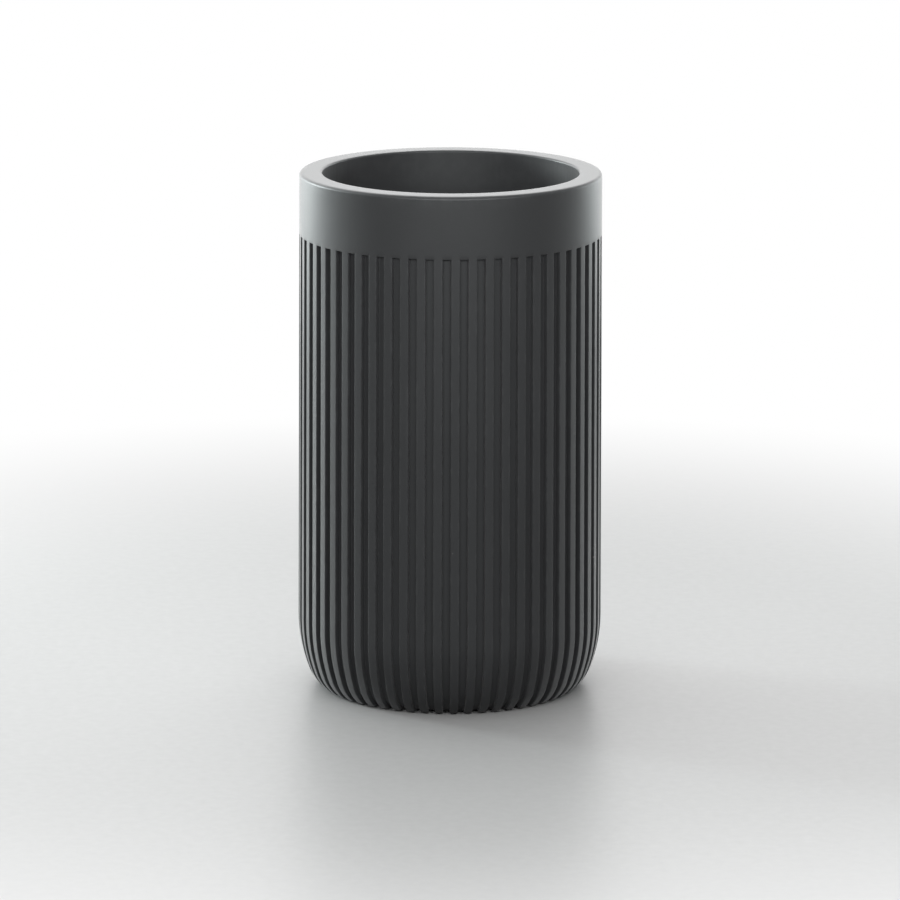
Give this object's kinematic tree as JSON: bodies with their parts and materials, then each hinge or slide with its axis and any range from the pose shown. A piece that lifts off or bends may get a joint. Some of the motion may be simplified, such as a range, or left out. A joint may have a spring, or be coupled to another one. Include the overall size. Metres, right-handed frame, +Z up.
{
  "type": "bathroom tumbler",
  "caption": "Free-standing bathroom tumbler: a straight thick-walled cup with a fluted outside, a plain band below a flat rim and a rounded bottom corner, on a non-slip pad.",
  "frame": {"origin": "centre of the surface that the tumbler stands on, which is the underside of its pad", "axes": "+Z up along the cup's axis, out of the mouth; -Y towards the viewer of the picture, to within 2 degrees; ribs lie on the X and Y axes"},
  "size_m": [0.07, 0.07, 0.12],
  "materials": {
    "soft_touch_resin": "matte",
    "adhesive_film": "satin",
    "pad_foam": "matte"
  },
  "bodies": {
    "root": {"vessel": "soft_touch_resin", "pad_film": "adhesive_film", "base_pad": "pad_foam"}
  },
  "joints": []
}
